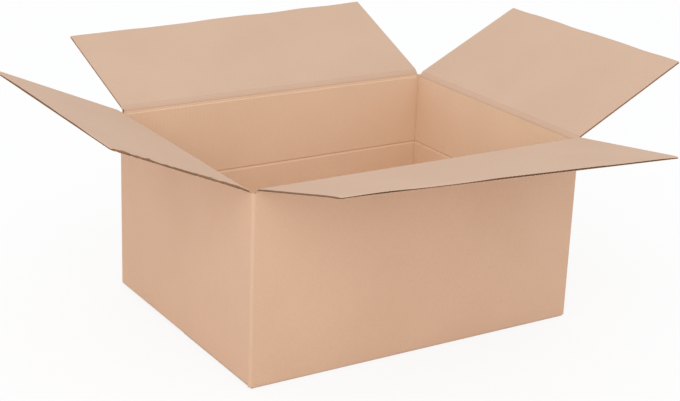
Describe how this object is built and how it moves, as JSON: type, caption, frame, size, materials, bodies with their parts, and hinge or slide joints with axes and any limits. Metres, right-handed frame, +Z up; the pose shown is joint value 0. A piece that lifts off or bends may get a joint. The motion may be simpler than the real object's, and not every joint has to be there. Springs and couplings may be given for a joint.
{
  "type": "open cardboard box",
  "caption": "Open corrugated shipping carton with plain kraft walls, a closed bottom and hinged top flaps folded outwards.",
  "frame": {"origin": "centre of the underside of the carton, on the surface that it stands on", "axes": "+Z up, +X to the right along the long front wall, +Y from the front wall to the back wall"},
  "size_m": [0.9347, 0.821, 0.3808],
  "materials": {
    "board": "plain brown kraft liner, matt",
    "flap_board": "plain brown kraft liner, matt, with open flutes at the outer edge"
  },
  "bodies": {
    "carton": {"carton": "board"},
    "front_flap": {"front_flap": "flap_board"},
    "back_flap": {"back_flap": "flap_board"},
    "left_flap": {"left_flap": "flap_board"},
    "right_flap": {"right_flap": "flap_board"}
  },
  "joints": [
    {"name": "front_flap_crease", "type": "hinge", "parent": "carton", "child": "front_flap", "pos_m": [0, -0.21, 0.285], "axis": [-1, 0, 0], "range_deg": [-97.5, 168.5]},
    {"name": "back_flap_crease", "type": "hinge", "parent": "carton", "child": "back_flap", "pos_m": [0, 0.21, 0.285], "axis": [1, 0, 0], "range_deg": [-106.5, 159.5]},
    {"name": "left_flap_crease", "type": "hinge", "parent": "carton", "child": "left_flap", "pos_m": [-0.275, 0, 0.2815], "axis": [0, 1, 0], "range_deg": [-109.5, 156.5]},
    {"name": "right_flap_crease", "type": "hinge", "parent": "carton", "child": "right_flap", "pos_m": [0.275, 0, 0.2815], "axis": [0, -1, 0], "range_deg": [-113, 153]}
  ]
}
